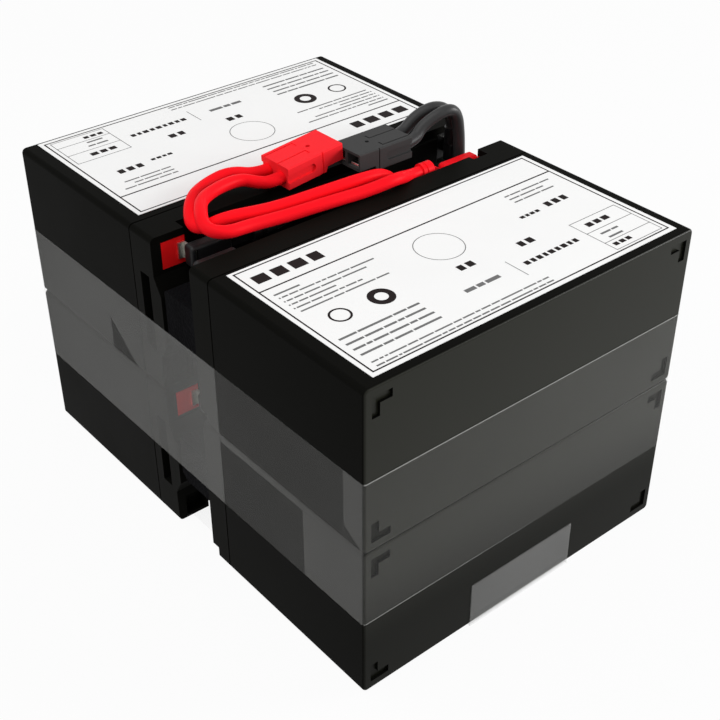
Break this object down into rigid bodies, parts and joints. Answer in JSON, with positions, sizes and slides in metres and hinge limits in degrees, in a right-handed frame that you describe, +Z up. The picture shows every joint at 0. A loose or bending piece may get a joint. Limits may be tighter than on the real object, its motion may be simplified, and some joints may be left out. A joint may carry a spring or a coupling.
{
  "type": "ups battery cartridge",
  "caption": "Battery cartridge for an uninterruptible power supply: taped stacks of flat-lying sealed batteries, lids facing, with red and grey connectors on leads.",
  "frame": {"origin": "middle of the pack's underside, midway between the two stacks and midway along the batteries", "axes": "+X along the batteries' long sides, +Y across the pack from the front stack's bottoms to the back stack's bottoms, +Z up out of the labelled faces"},
  "size_m": [0.1516, 0.2106, 0.1464],
  "materials": {
    "case": "fine satin grain",
    "lid": "fine satin grain",
    "vent_cover": "satin",
    "positive_base": "cast resin",
    "negative_base": "cast resin",
    "tab": "tinned",
    "red_insulation": "soft gloss",
    "black_insulation": "soft gloss",
    "red_wire": "soft gloss",
    "black_wire": "soft gloss",
    "paper": "coated paper",
    "tape": "clear gloss",
    "film": "clear satin",
    "foam": "matte closed-cell foam",
    "red_housing": "satin",
    "grey_housing": "satin",
    "contact": "silvered"
  },
  "bodies": {
    "root": {"near_upper_case": "case", "near_upper_lid": "lid", "near_upper_vent_cover": "vent_cover", "near_upper_positive_base": "positive_base", "near_upper_negative_base": "negative_base", "near_upper_positive_tab": "tab", "near_upper_negative_tab": "tab", "near_upper_positive_flag": "red_insulation", "near_upper_negative_flag": "black_insulation", "near_lower_case": "case", "near_lower_lid": "lid", "near_lower_vent_cover": "vent_cover", "near_lower_positive_base": "positive_base", "near_lower_negative_base": "negative_base", "near_lower_positive_tab": "tab", "near_lower_negative_tab": "tab", "near_lower_positive_flag": "red_insulation", "near_lower_negative_flag": "black_insulation", "far_upper_case": "case", "far_upper_lid": "lid", "far_upper_vent_cover": "vent_cover", "far_upper_positive_base": "positive_base", "far_upper_negative_base": "negative_base", "far_upper_positive_tab": "tab", "far_upper_negative_tab": "tab", "far_upper_positive_flag": "black_insulation", "far_upper_negative_flag": "black_insulation", "far_lower_case": "case", "far_lower_lid": "lid", "far_lower_vent_cover": "vent_cover", "far_lower_positive_base": "positive_base", "far_lower_negative_base": "negative_base", "far_lower_positive_tab": "tab", "far_lower_negative_tab": "tab", "far_lower_positive_flag": "black_insulation", "far_lower_negative_flag": "black_insulation", "near_label": "paper", "far_label": "paper", "tape_band": "tape", "bottom_strap": "film", "gap_film": "film", "spacer_upper": "foam", "spacer_lower": "foam", "red_lead_upper": "red_wire", "red_lead_lower": "red_wire", "black_lead_upper": "black_wire", "black_lead_lower": "black_wire", "jumper_upper": "black_wire", "jumper_lower": "black_wire", "red_housing": "red_housing", "grey_housing": "grey_housing", "red_contact_a": "contact", "red_contact_b": "contact", "grey_contact_a": "contact", "grey_contact_b": "contact"}
  },
  "joints": []
}
